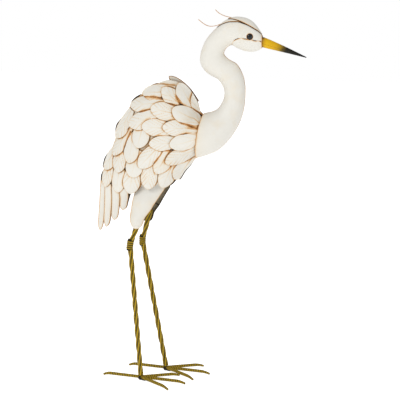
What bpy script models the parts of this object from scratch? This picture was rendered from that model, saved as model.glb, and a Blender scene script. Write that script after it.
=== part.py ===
"""A great egret of painted sheet metal, standing on two wire-toed feet. Metres, +Z up, facing +X.

The outlines are drawn in millimetres on a bird DRAWN_HEIGHT tall and follow HEIGHT. Sheet, bar, rod,
collar and clearance sizes are in metres and stand by themselves.
"""

import bpy
import bmesh
import numpy as np

HEIGHT = 1.0154
DRAWN_HEIGHT = 1015.4
CLEARANCE = 0.0003

BODY_HALF_WIDTH = 0.062
BODY_BULGE = 2.6
RIM_START = 0.93
MOST_LEAN = 0.8
BODY_CENTRE = (-55, 690)
BODY_OUTLINE = (
    (38, 86, 86), (62, 104, 104), (80, 129, 129), (98, 145, 145), (119, 143, 143), (142, 144, 144),
    (161, 152, 152), (178, 164, 164), (190, 180, 180), (199, 200, 200), (207, 223, 222),
    (215, 247, 242), (226, 258, 234), (235, 226, 196), (245, 200, 172), (255, 175, 156),
    (263, 147, 138), (270, 125, 118), (279, 102, 98), (292, 89, 86), (310, 80, 80),
    (335, 110, 110), (360, 150, 150), (380, 120, 120),
)
SHOULDER_CUT = ((-0.5, 626.4), (16.5, 745.4))

NECK_STATIONS = (
    ((169.5, 921), (169.5, 951), 11), ((158, 914), (155, 972), 16.5),
    ((143.5, 910.5), (139, 987), 20.5), ((122, 912.5), (119, 994.5), 23.5),
    ((103, 920), (96, 995), 25), ((90, 926), (74, 988), 25.5), ((79, 921), (53, 971), 24.5),
    ((72, 912), (37, 955), 23.5), ((69.5, 904), (22, 936), 23), ((72, 898), (12, 913), 23),
    ((79, 891), (7.5, 893), 24), ((90, 884.5), (8.5, 877), 24.5), ((101, 879), (17, 861), 25),
    ((109, 870), (32, 848), 25), ((116, 857), (50, 839), 25), ((122, 842), (61, 829), 25),
    ((126, 822), (69, 815), 25.5), ((126.5, 800), (71.5, 801), 26), ((125, 776), (69, 785), 28),
    ((121, 752), (62, 770), 31), ((113.5, 728), (52, 758), 36), ((101, 703), (38, 751), 43),
    ((82, 676), (28, 748.5), 50), ((56, 650), (22, 747), 55.5), ((28, 636), (19, 746.2), 58.5),
    (*SHOULDER_CUT, 60),
)
NECK_SIDES = 16
HEAD_STATIONS = 6

BEAK_BASE_TOP = (173.5, 946.5)
BEAK_BASE_BOTTOM = (172, 921)
BEAK_TIP = (282.5, 898.4)
BEAK_HALF_WIDTH = 0.0095
BEAK_TIP_DIAMETER = 0.0022

EYE_PLACE = (140, 954)
EYE_DIAMETER = 0.015
EYE_RISE = 0.0035

CREST_SHEET = 0.0012
CREST_HALF_ARC = 55
PLUME_HALF_WIDTH = 0.0025
UPPER_PLUME = ((68, 1001), (59, 1005.6), (46.5, 1014.8))
LOWER_PLUME = ((65, 983.4), (56, 977.2), (46, 973.5), (30, 973), (15, 979.5), (2.5, 989.4))
LOWER_PLUME_ROOT_HALF_WIDTH = 0.008

FEATHER_SHEET = 0.001
FEATHER_ROUNDING = 0.024
FEATHER_WIDEST = 0.054
FEATHER_OUTER_WIDTH = 0.02
FEATHER_EDGE = 1.02
FEATHER_LIFT = 0.002
FEATHER_TIP_RISE = 0.0068
FEATHER_ROLL = 0.0006
FEATHER_COLUMNS = np.array([-0.95, -0.55, 0, 0.55, 0.95])
FEATHER_STEPS = 3
ROOT_GAP = 0.003
FEATHER_ROWS = (
    (130, (-8, 800, 107.5), (-53, 826, 123.4), (-55, 764, 147), (-79, 719, 177), (-61, 666, 199),
     (-76, 613, 212), (-51, 579, 232)),
    (74, (-92, 821, 146), (-117, 763, 172), (-136, 706, 186), (-120, 668, 192)),
    (80, (-144, 798, 172), (-189, 752, 195), (-177, 711, 205), (-150, 654, 236)),
    (76, (-220, 673, 237)),
    (80, (-229, 627, 238), (-178, 613, 255), (-148, 606, 236), (-105, 591, 231)),
    (74, (-251, 587, 247), (-209, 583, 264), (-170, 574, 254), (-131, 542, 252), (-98, 544, 238)),
    (66, (-252, 538, 262), (-217, 526, 262), (-181, 525, 256)),
)

TAIL_STRIPS = (
    ((-255, 552), (-269.5, 416), 18), ((-241, 548), (-251.5, 427), 21),
    ((-220, 541), (-229.5, 446), 22), ((-196, 541), (-206, 475), 22),
)
TAIL_LIFT = 0.0013
TAIL_LAYER = 0.0017

THIGH_SHEET = 0.0012
THIGH_GAP = 0.0016
THIGH_STATIONS = (
    (433, -163, -157, 41.5, 44), (436, -167.5, -151.5, 38, 45.5), (446, -173.5, -144, 35, 45),
    (459, -175.5, -140, 32.5, 44), (484, -173.5, -123, 26, 38.5), (503, -172.5, -113, 21.5, 33),
    (524, -169.5, -100, 13, 25), (543, -168, -89, 0, 0), (560, -166, -88, 0, 0),
    (578, -164, -94, 0, 0),
)

BAR_SIDE = 0.011
BAR_TWIST_LENGTH = 0.155
BAR_TURN_STEPS = 16
COLLAR_DIAMETER = 0.019
COLLAR_LENGTH = 0.024
COLLAR_RIBS = 4
COLLAR_RIB_DEPTH = 0.001
LEGS = {
    "right": {"hip": (-149, -27, 470), "knee": (-178, -38.5, 387), "hub": (-152.5, -41, 0), "thigh": 0},
    "left": {"hip": (-138, 27, 470), "knee": (-164, 38.5, 379.5), "hub": (-100.5, 39.5, 0), "thigh": 10},
}

TOE_DIAMETER = 0.009
TOE_LEVEL = 0.0085
CLAW_TIP_DIAMETER = 0.0058
HUB_DIAMETER = 0.015
HUB_HEIGHT = 0.014
FOOT_TURN = -4.5
SIDE_TOE_ANGLE = 28.5
TOES = {
    "middle": (0, 105, 24), "outer": (-SIDE_TOE_ANGLE, 85, 24),
    "inner": (SIDE_TOE_ANGLE, 85, 24), "back": (180, 91, 19),
}


def form(value):
    """Drawn millimetres as metres on a bird HEIGHT tall."""
    return np.asarray(value, float) * HEIGHT / DRAWN_HEIGHT


def smooth_curve(knots, values, at):
    """Cubic through the values, its slope at each knot taken from the knots beside it."""
    knots, values = np.asarray(knots, float), np.asarray(values, float)
    slopes = np.gradient(values, knots, axis=0)
    place = np.clip(np.searchsorted(knots, at, side="right") - 1, 0, len(knots) - 2)
    step = knots[place + 1] - knots[place]
    share = (at - knots[place]) / step
    shape = share.shape + (1,) * (values.ndim - 1)
    share, step = share.reshape(shape), step.reshape(shape)
    return (
        (1 + 2 * share) * (1 - share) ** 2 * values[place]
        + share**2 * (3 - 2 * share) * values[place + 1]
        + share * (1 - share) ** 2 * step * slopes[place]
        - share**2 * (1 - share) * step * slopes[place + 1]
    )


def path_through(points, count):
    """Count points evenly placed on the smooth curve through the given ones."""
    points = np.asarray(points, float)
    along = np.concatenate([[0], np.cumsum(np.linalg.norm(np.diff(points, axis=0), axis=1))])
    return smooth_curve(along, points, np.linspace(0, along[-1], count))


def outline_radius(angle, column):
    """Distance from the body's centre to an outline at an angle in degrees: 1 coat of feathers, 2 shell."""
    outline = np.array(BODY_OUTLINE, float)
    knots = np.concatenate([outline[:, 0] - 360, outline[:, 0], outline[:, 0] + 360])
    return smooth_curve(knots, form(np.tile(outline[:, column], 3)), np.mod(angle, 360))


def half_width(x, z, column=1):
    """Half the body's width beside a point of its middle plane. It thins to nothing past the outline."""
    across, up = x - form(BODY_CENTRE[0]), z - form(BODY_CENTRE[1])
    share = np.hypot(across, up) / outline_radius(np.degrees(np.arctan2(up, across)), column)
    edge = 1 - RIM_START**BODY_BULGE
    fall = BODY_BULGE * RIM_START ** (BODY_BULGE - 1) / edge
    beyond = edge * np.exp(-fall * np.maximum(share - RIM_START, 0))
    inside = 1 - np.minimum(share, RIM_START) ** BODY_BULGE
    return BODY_HALF_WIDTH * np.where(share > RIM_START, beyond, inside)


def skin(x, z, rise, side):
    """Points at a height over the body's skin; side is -1 right, +1 left. The height is measured along
    the outward normal, which leans no further than MOST_LEAN off the side."""
    step = 1e-4
    slope_x = (half_width(x + step, z) - half_width(x - step, z)) / (2 * step)
    slope_z = (half_width(x, z + step) - half_width(x, z - step)) / (2 * step)
    lean = np.minimum(1, MOST_LEAN / np.maximum(np.hypot(slope_x, slope_z), 1e-9))
    slope_x, slope_z = slope_x * lean, slope_z * lean
    size = np.sqrt(1 + slope_x**2 + slope_z**2)
    out = half_width(x, z) + rise / size
    return np.stack([x - rise * slope_x / size, side * out, z - rise * slope_z / size], axis=-1)


def past_shell(places):
    """How far places of the side plane lie ahead of the neck shell's rear edge."""
    low, high = form(SHOULDER_CUT)
    lean = (high[0] - low[0]) / (high[1] - low[1])
    return places[..., 0] - low[0] - (places[..., 1] - low[1]) * lean


def behind_shell(roots, tips):
    """The roots, each moved towards its tip until it lies behind the neck shell's rear edge."""
    past, past_tip = past_shell(roots) + ROOT_GAP, past_shell(tips) + ROOT_GAP
    share = np.where(past > 0, past / np.maximum(past - past_tip, 1e-9), 0)
    return roots + np.minimum(share, 1)[..., None] * (tips - roots)


def material(name, colour, roughness, metallic):
    made = bpy.data.materials.new(name)
    made.use_nodes = True
    shader = made.node_tree.nodes["Principled BSDF"]
    shader.inputs["Base Color"].default_value = (*colour, 1)
    shader.inputs["Roughness"].default_value = roughness
    shader.inputs["Metallic"].default_value = metallic
    return made


def solid(name, points, faces, finish):
    """One closed object on the stand, its faces turned outwards."""
    mesh = bpy.data.meshes.new(name)
    mesh.from_pydata(np.asarray(points, float).tolist(), [], faces)
    shape = bmesh.new()
    shape.from_mesh(mesh)
    bmesh.ops.recalc_face_normals(shape, faces=shape.faces)
    if shape.calc_volume(signed=True) < 0:
        bmesh.ops.reverse_faces(shape, faces=shape.faces)
    shape.to_mesh(mesh)
    shape.free()
    mesh.shade_smooth()
    mesh.set_sharp_from_angle(angle=np.radians(35))
    mesh.materials.append(finish)
    made = bpy.data.objects.new(name, mesh)
    made.parent = stand
    bpy.context.scene.collection.objects.link(made)
    return made


def loft(name, rings, finish, twisted=False):
    """Solid through rings, an array (ring, corner, xyz), with a flat face over each end. The walls of a
    twisted one are split along their shorter diagonal."""
    count, sides, _ = rings.shape
    index = np.arange(count * sides).reshape(count, sides)
    beside = np.roll(index, -1, axis=1)
    if twisted:
        walls = np.stack([index[:-1], beside[:-1], index[1:], beside[:-1], beside[1:], index[1:]], axis=-1)
        faces = walls.reshape(-1, 3).tolist()
    else:
        walls = np.stack([index[:-1], beside[:-1], beside[1:], index[1:]], axis=-1)
        faces = walls.reshape(-1, 4).tolist()
    faces += [index[0].tolist(), index[-1].tolist()]
    return solid(name, rings.reshape(-1, 3), faces, finish)


def plate(name, under, over, finish):
    """Sheet between two grids (row, column, xyz) of the same shape, closed round its rim."""
    rows, columns, _ = under.shape
    low = np.arange(rows * columns).reshape(rows, columns)
    high = low + rows * columns
    faces = []
    for grid in (low, high):
        corners = np.stack([grid[:-1, :-1], grid[:-1, 1:], grid[1:, 1:], grid[1:, :-1]], axis=-1)
        faces += corners.reshape(-1, 4).tolist()
    rim = np.concatenate([low[0, :-1], low[:-1, -1], low[-1, :0:-1], low[:0:-1, 0]])
    ahead = np.roll(rim, -1)
    faces += np.stack([rim, ahead, ahead + low.size, rim + low.size], axis=-1).tolist()
    points = np.concatenate([under.reshape(-1, 3), over.reshape(-1, 3)])
    return solid(name, points, faces, finish)


def neck_ring(front, back, width, grow=0.0, angles=None):
    """Ellipse between a front and a back point of the middle plane; 0 degrees is the front."""
    if angles is None:
        angles = np.arange(NECK_SIDES) * 2 * np.pi / NECK_SIDES
    front, back = form(front), form(back)
    middle, reach = (front + back) / 2, (front - back) / 2
    reach = reach * (1 + grow / np.linalg.norm(reach))
    plane = middle + np.cos(angles)[:, None] * reach
    return np.stack([plane[:, 0], np.sin(angles) * (form(width) + grow), plane[:, 1]], axis=-1)


def make_neck_shell():
    loft("neck_shell", np.stack([neck_ring(*station) for station in NECK_STATIONS]), WHITE)


def make_body_shell():
    """Pillow of rings round the body's centre, right side to left, flat where the neck shell meets it."""
    first, last = BODY_OUTLINE[0][0], BODY_OUTLINE[20][0]
    angles = np.concatenate([np.linspace(first, last, 28), np.linspace(last, first + 360, 6)[1:-1]])
    aim = np.stack([np.cos(np.radians(angles)), np.sin(np.radians(angles))], axis=-1)
    low, high = form(SHOULDER_CUT)
    across = np.array([high[1] - low[1], low[0] - high[0]]) / np.linalg.norm(high - low)
    ahead = (low - form(BODY_CENTRE)) @ across - 2 * CLEARANCE
    facing = np.maximum(aim @ across, 1e-6)
    reach = np.minimum(outline_radius(angles, 2), ahead / facing)
    rings = []
    for side, shares in ((-1, (0.15, 0.4, 0.62, 0.8, 0.92, 1)), (1, (1, 0.92, 0.8, 0.62, 0.4, 0.15))):
        for share in shares:
            flat = form(BODY_CENTRE) + aim * (share * reach)[:, None]
            width = half_width(flat[:, 0], flat[:, 1], 2)
            rings.append(np.stack([flat[:, 0], side * width, flat[:, 1]], axis=-1))
    loft("body_shell", np.stack(rings), WHITE)


def make_beak():
    top, bottom, tip = form(BEAK_BASE_TOP), form(BEAK_BASE_BOTTOM), form(BEAK_TIP)
    angles = np.arange(10) * 2 * np.pi / 10
    rings = []
    for along in (0, 0.2, 0.45, 0.7, 0.88, 1):
        middle = (1 - along) * (top + bottom) / 2 + along * tip
        middle = middle + np.array([0, form(3) * along * (1 - along)])
        taper = 1 - along ** 1.15
        depth = taper * np.linalg.norm(top - bottom) / 2 + (1 - taper) * BEAK_TIP_DIAMETER / 2
        width = taper * BEAK_HALF_WIDTH + (1 - taper) * BEAK_TIP_DIAMETER / 2
        upright = (top - bottom) / np.linalg.norm(top - bottom)
        plane = middle + np.cos(angles)[:, None] * depth * upright
        rings.append(np.stack([plane[:, 0], np.sin(angles) * width, plane[:, 1]], axis=-1))
    loft("beak", np.stack(rings), BEAK_YELLOW)


def head_skin(place, side):
    """Half the head's width beside a point of the middle plane."""
    for (front, back, width), (front_next, back_next, width_next) in zip(
        NECK_STATIONS[:HEAD_STATIONS], NECK_STATIONS[1:]
    ):
        middle = (form(front) + form(back)) / 2
        beyond = (form(front_next) + form(back_next)) / 2
        if beyond[0] <= place[0] <= middle[0]:
            share = (middle[0] - place[0]) / (middle[0] - beyond[0])
            centre = middle + share * (beyond - middle)
            depth = np.linalg.norm(form(front) - form(back)) / 2
            depth_next = np.linalg.norm(form(front_next) - form(back_next)) / 2
            depth += share * (depth_next - depth)
            wide = form(width) + share * (form(width_next) - form(width))
            lift = min(abs(place[1] - centre[1]) / depth, 0.99)
            return side * wide * np.sqrt(1 - lift**2)
    return 0.0


def make_eye(name, side):
    """Domed button lying on the head's side, its flat back clear of the sheet."""
    place = form(EYE_PLACE)
    step = 1e-4
    out = abs(head_skin(place, side))
    slope_x = (abs(head_skin(place + (step, 0), side)) - out) / step
    slope_z = (abs(head_skin(place + (0, step), side)) - out) / step
    normal = np.array([-slope_x, side, -slope_z]) / np.sqrt(1 + slope_x**2 + slope_z**2)
    first = np.cross(normal, (0, 0, 1))
    first /= np.linalg.norm(first)
    second = np.cross(normal, first)
    angles = np.arange(12) * 2 * np.pi / 12
    circle = np.cos(angles)[:, None] * first + np.sin(angles)[:, None] * second
    centre = np.array([place[0], side * out, place[1]]) + normal * 3 * CLEARANCE
    rings = []
    for turn in (0, 0.35, 0.7, 0.92):
        radius = EYE_DIAMETER / 2 * np.cos(turn * np.pi / 2)
        rings.append(centre + circle * radius + normal * EYE_RISE * np.sin(turn * np.pi / 2))
    loft(name, np.stack(rings), EYE_BLACK)


def make_crest_cap():
    """Cap sheet over the top of the head, drawn out at the nape into a plume that curls up."""
    arc = np.radians(180 - np.linspace(-CREST_HALF_ARC, CREST_HALF_ARC, 7))
    under, over = [], []
    for number, station in enumerate(NECK_STATIONS[1:HEAD_STATIONS]):
        for grid, grow in ((under, 2 * CLEARANCE), (over, 2 * CLEARANCE + CREST_SHEET)):
            grid.append(neck_ring(*station, grow, arc))
    plume = path_through(form(UPPER_PLUME), 5)
    widths = np.linspace(0.35, 0, len(plume)) ** 1.3
    crown = under[-1]
    for centre, share in zip(plume, widths):
        across = crown[:, 1] * share + np.linspace(-1, 1, 7) * PLUME_HALF_WIDTH * (1 - share)
        for grid, grow in ((under, 0), (over, CREST_SHEET)):
            row = np.stack([np.full(7, centre[0]), across, np.full(7, centre[1] + grow / 2)], axis=-1)
            row[:, 2] -= (0 if grow else CREST_SHEET / 2) + share * (across / form(25)) ** 2 * form(10)
            grid.append(row)
    plate("crest_cap", np.stack(under), np.stack(over), WHITE)


def make_crest_plume():
    """Narrow strip rising from the nape under the cap, running back and curling up."""
    path = path_through(form(LOWER_PLUME), 9)
    along = np.gradient(path, axis=0)
    along /= np.linalg.norm(along, axis=1)[:, None]
    normal = np.stack([along[:, 1], -along[:, 0]], axis=-1)
    normal *= np.sign(normal[:, 1:])
    widths = np.linspace(1, 0, len(path)) ** 2 * (LOWER_PLUME_ROOT_HALF_WIDTH - PLUME_HALF_WIDTH)
    grids = []
    for rise in (-CREST_SHEET / 2, CREST_SHEET / 2):
        rows = [
            [(p[0] + n[0] * rise, s * (PLUME_HALF_WIDTH * 0.7 + w), p[1] + n[1] * rise) for s in (-1, 1)]
            for p, n, w in zip(path, normal, widths)
        ]
        grids.append(np.array(rows))
    plate("crest_plume", *grids, WHITE)


def across_row(ends):
    """Places across a row, (feather, column, xz), from one end of each feather's centre line."""
    gaps = np.diff(ends, axis=0)
    span = np.linalg.norm(gaps, axis=1, keepdims=True)
    gaps = gaps * np.minimum(1, FEATHER_WIDEST / span)
    outer = np.minimum(1, FEATHER_OUTER_WIDTH / span[[0, -1]])
    before = np.concatenate([gaps[:1] * outer[0], gaps])[:, None]
    after = np.concatenate([gaps, gaps[-1:] * outer[1]])[:, None]
    shares = FEATHER_COLUMNS[:, None]
    return ends[:, None] + np.where(shares < 0, before, after) / 2 * shares


def shared_aims(aims):
    """Unit vectors for a row's columns: a feather's own down its middle, its neighbours' mean between."""
    gaps = np.diff(aims, axis=0)
    before = np.concatenate([0 * aims[:1], gaps])[:, None]
    after = np.concatenate([gaps, 0 * aims[:1]])[:, None]
    shares = FEATHER_COLUMNS[:, None]
    mixed = aims[:, None] + np.where(shares < 0, before, after) / 2 * shares
    return mixed / np.linalg.norm(mixed, axis=-1, keepdims=True)


def within_outline(places):
    """The places, drawn in towards the body's centre where they would stand out past its outline."""
    from_centre = places - form(BODY_CENTRE)
    angle = np.degrees(np.arctan2(from_centre[:, 1], from_centre[:, 0]))
    limit = FEATHER_EDGE * outline_radius(angle, 1)
    return form(BODY_CENTRE) + from_centre * np.minimum(1, limit / np.hypot(*from_centre.T))[:, None]


def make_feather_row(name, length, feathers, side):
    """One row of overlapping feathers, each rising to its lower edge and stepping down to the next."""
    tips, headings = form([feather[:2] for feather in feathers]), np.radians([f[2] for f in feathers])
    aims = np.stack([np.cos(headings), np.sin(headings)], axis=-1)
    roots = tips - form(length) * aims
    if len(feathers) == 1:
        beside = np.array([[-aims[0, 1], aims[0, 0]]]) * FEATHER_OUTER_WIDTH / 2
        tips_across = tips[:, None] + FEATHER_COLUMNS[:, None] * beside
        roots_across = roots[:, None] + FEATHER_COLUMNS[:, None] * beside
    else:
        tips_across, roots_across = across_row(tips), across_row(behind_shell(roots, tips))
    cut = FEATHER_ROUNDING * (1 - np.sqrt(1 - FEATHER_COLUMNS**2))
    tips_across = tips_across - cut[:, None] * shared_aims(aims)
    tips_across[..., 0] -= np.maximum(past_shell(tips_across) + 3 * ROOT_GAP, 0)
    roots_across = behind_shell(roots_across, tips_across)
    roll = np.tile(FEATHER_COLUMNS, len(tips)) * FEATHER_ROLL
    reach = 1 - np.tile(cut, len(tips)) / form(length)
    grids = ([], [])
    for along in np.linspace(0, 1, FEATHER_STEPS + 1):
        place = within_outline((roots_across + (tips_across - roots_across) * along).reshape(-1, 2))
        rise = FEATHER_LIFT + FEATHER_TIP_RISE * along * reach + roll * min(1, 2 * along)
        for grid, more in zip(grids, (0, FEATHER_SHEET)):
            grid.append(skin(place[:, 0], place[:, 1], rise + more, side))
    plate(name, np.array(grids[0]), np.array(grids[1]), FEATHER_WHITE)


def make_tail_strip(name, number, side):
    """Long narrow feather down the tail; every other one lies a layer higher."""
    root, tip, width = TAIL_STRIPS[number]
    root, tip, wide = form(root), form(tip), form(width) / 2
    aim = (tip - root) / np.linalg.norm(tip - root)
    beside = np.array([-aim[1], aim[0]])
    lift = TAIL_LIFT + TAIL_LAYER * (number % 2)
    grids = []
    for more in (0, FEATHER_SHEET):
        rows = []
        for along in (0, 0.2, 0.4, 0.6, 0.8, 0.93, 1):
            narrow = wide * (1 - 0.25 * along) * np.sqrt(max(1 - max(along - 0.8, 0) ** 2 / 0.042, 0.1))
            places = [root + (tip - root) * along + beside * narrow * share for share in (-1, 0, 1)]
            rows.append([skin(x, z, lift + more, side) for x, z in places])
        grids.append(np.array(rows))
    plate(name, *grids, FEATHER_WHITE)


def make_thigh(name, side, ahead):
    """Dished plate hanging from the body's side, pointed at the foot and lapped on the body above."""
    across = np.linspace(-1, 1, 7)
    under, over = [], []
    for level, back, front, edge, crown in THIGH_STATIONS:
        x = form((back + front) / 2 + ahead + across * (front - back) / 2)
        z = np.full(len(x), form(level))
        lapped = half_width(x, z, 2) + THIGH_GAP
        out = np.maximum(form(crown - (crown - edge) * across**2), lapped)
        under.append(np.stack([x, side * out, z], axis=-1))
        over.append(np.stack([x, side * (out + THIGH_SHEET), z], axis=-1))
    plate(name, np.stack(under), np.stack(over), WHITE)


def rod_frame(start, end):
    """Two unit vectors square to a run and to each other."""
    aim = (end - start) / np.linalg.norm(end - start)
    first = np.cross(aim, (0, 1, 0))
    first /= np.linalg.norm(first)
    return aim, first, np.cross(aim, first)


def make_bar(name, start, end):
    """Square bar twisted about its own length, BAR_TURN_STEPS rings to a turn."""
    aim, first, second = rod_frame(start, end)
    length = np.linalg.norm(end - start)
    count = int(np.ceil(length / BAR_TWIST_LENGTH * BAR_TURN_STEPS)) + 1
    rings = []
    for along in np.linspace(0, length, count):
        turn = 2 * np.pi * along / BAR_TWIST_LENGTH + np.arange(4) * np.pi / 2
        corner = np.cos(turn)[:, None] * first + np.sin(turn)[:, None] * second
        rings.append(start + aim * along + corner * BAR_SIDE / np.sqrt(2))
    loft(name, np.stack(rings), BRASS, twisted=True)


def make_collar(name, start, end):
    """Ribbed ferrule wrapped round the knee, where the two bars of a leg meet."""
    aim, first, second = rod_frame(start, end)
    length = np.linalg.norm(end - start)
    angles = np.arange(12) * np.pi / 6
    circle = np.cos(angles)[:, None] * first + np.sin(angles)[:, None] * second
    rings = []
    for number in range(2 * COLLAR_RIBS + 1):
        radius = COLLAR_DIAMETER / 2 - (COLLAR_RIB_DEPTH if number % 2 == 0 else 0)
        rings.append(start + aim * length * number / (2 * COLLAR_RIBS) + circle * radius)
    loft(name, np.stack(rings), BRASS)


def make_leg(side_name):
    leg = LEGS[side_name]
    hip, knee, hub = form(leg["hip"]), form(leg["knee"]), form(leg["hub"])
    top = np.array([hub[0], hub[1], HUB_HEIGHT + CLEARANCE])
    up = (hip - knee) / np.linalg.norm(hip - knee)
    down = (top - knee) / np.linalg.norm(top - knee)
    along = (up - down) / np.linalg.norm(up - down)
    above, below = knee + along * COLLAR_LENGTH / 2, knee - along * COLLAR_LENGTH / 2
    lean = BAR_SIDE * 0.75 * np.linalg.norm(np.cross(up, along)) + CLEARANCE
    make_bar(f"upper_leg_{side_name}", above + up * lean, hip)
    lean = BAR_SIDE * 0.75 * np.linalg.norm(np.cross(down, along)) + CLEARANCE
    make_collar(f"knee_collar_{side_name}", below, above)
    lean_foot = BAR_SIDE * 0.75 * np.linalg.norm(np.cross(down, (0, 0, 1)))
    make_bar(f"lower_leg_{side_name}", below + down * lean, top - down * lean_foot)


def make_hub(name, hub):
    """Weld that joins a foot's toes, drawn out forwards into a web between the three front ones."""
    half = ((0, 1), (SIDE_TOE_ANGLE, 1), (SIDE_TOE_ANGLE * 1.7, 0.3), (90, 0), (135, 0))
    lobes = half + ((180, 0),) + tuple((-angle, lobe) for angle, lobe in half[:0:-1])
    angles = np.radians([FOOT_TURN + angle for angle, _ in lobes])
    reach = np.array([HUB_DIAMETER / 2 + lobe * (toe_start() - CLEARANCE - HUB_DIAMETER / 2) for _, lobe in lobes])
    rings = []
    for level, share in ((0.15, 0.8), (0.35, 1), (0.7, 1), (1, 0.6)):
        outline = np.stack([np.cos(angles) * reach, np.sin(angles) * reach, 0 * reach], axis=-1)
        rings.append(np.array([hub[0], hub[1], HUB_HEIGHT * level]) + outline * share)
    loft(name, np.stack(rings), DARK_WELD)


def toe_start():
    """How far from the hub's middle two toes beside each other clear one another."""
    return (TOE_DIAMETER / 2 + CLEARANCE) / np.sin(np.radians(SIDE_TOE_ANGLE / 2))


def make_toe(name, hub, heading, start, run, claw):
    """Rod from the hub along the ground, its claw bent down to a flat end that stands on the floor."""
    aim = np.array([np.cos(heading), np.sin(heading), 0])
    beside = np.array([-aim[1], aim[0], 0])
    up = np.array([0, 0, 1.0])
    angles = np.arange(8) * np.pi / 4 + np.pi / 8
    thick, fine = TOE_DIAMETER / 2, CLAW_TIP_DIAMETER / 2
    bend = form(run)
    end = bend + form(claw)
    drop = (TOE_LEVEL - fine) / (end - bend)
    rings = []
    for out, level, radius, slant in (
        (start, TOE_LEVEL, thick, 0), (bend, TOE_LEVEL, thick, drop / 2),
        (bend + (end - bend) * 0.5, TOE_LEVEL * 0.6, (thick + fine) / 2, drop),
    ):
        centre = np.array([hub[0], hub[1], 0]) + aim * out + up * level
        lean = up * np.cos(np.arctan(slant)) + aim * np.sin(np.arctan(slant))
        ring = centre + np.cos(angles)[:, None] * beside * radius + np.sin(angles)[:, None] * lean * radius
        rings.append(ring)
    foot = np.array([hub[0], hub[1], 0]) + aim * end
    stretch = fine * 1.6
    rings.append(foot + np.cos(angles)[:, None] * beside * fine - np.sin(angles)[:, None] * aim * -stretch)
    loft(name, np.stack(rings), BRASS)


def make_foot(side_name, side):
    hub = form(LEGS[side_name]["hub"])
    for toe, (angle, run, claw) in TOES.items():
        turn = FOOT_TURN + angle * -side
        start = HUB_DIAMETER / 2 + CLEARANCE if toe == "back" else toe_start()
        make_toe(f"toe_{toe}_{side_name}", hub, np.radians(turn), start, run, claw)
    make_hub(f"foot_hub_{side_name}", hub)


def centre_on_floor():
    """Moves the stand so that the middle of the bird's box lies over the origin."""
    bpy.context.view_layer.update()
    corners = np.concatenate([
        np.array([tuple(made.matrix_world @ vertex.co) for vertex in made.data.vertices])
        for made in stand.children
    ])
    middle = (corners.min(axis=0) + corners.max(axis=0)) / 2
    stand.location = (-middle[0], -middle[1], -corners[:, 2].min())


for made in list(bpy.data.objects):
    bpy.data.objects.remove(made)

stand = bpy.data.objects.new("stand", None)
bpy.context.scene.collection.objects.link(stand)

WHITE = material("painted_off_white_steel", (0.88, 0.85, 0.78), 0.5, 0.0)
FEATHER_WHITE = material("painted_feather_steel", (0.84, 0.78, 0.68), 0.55, 0.0)
BEAK_YELLOW = material("painted_yellow_beak", (0.80, 0.45, 0.03), 0.4, 0.0)
EYE_BLACK = material("gloss_black_eye", (0.01, 0.01, 0.015), 0.1, 0.0)
BRASS = material("antiqued_olive_gold", (0.35, 0.27, 0.04), 0.45, 0.6)
DARK_WELD = material("dark_weld", (0.05, 0.04, 0.02), 0.6, 0.5)

make_neck_shell()
make_beak()
make_crest_cap()
make_crest_plume()
make_body_shell()
for side_name, side in (("right", -1), ("left", 1)):
    make_eye(f"eye_{side_name}", side)
    for number, (length, *feathers) in enumerate(FEATHER_ROWS):
        make_feather_row(f"feather_row_{number + 1}_{side_name}", length, feathers, side)
    for number in range(len(TAIL_STRIPS)):
        make_tail_strip(f"tail_strip_{number + 1}_{side_name}", number, side)
    make_thigh(f"thigh_{side_name}", side, LEGS[side_name]["thigh"])
    make_leg(side_name)
    make_foot(side_name, side)
centre_on_floor()
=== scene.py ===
"""Looks of a painted sheet-metal egret statue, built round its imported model.

Shapes are worked out in drawing millimetres, x along the bird, y to its left and z up, and add_piece
puts them in the frame.
"""

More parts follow.
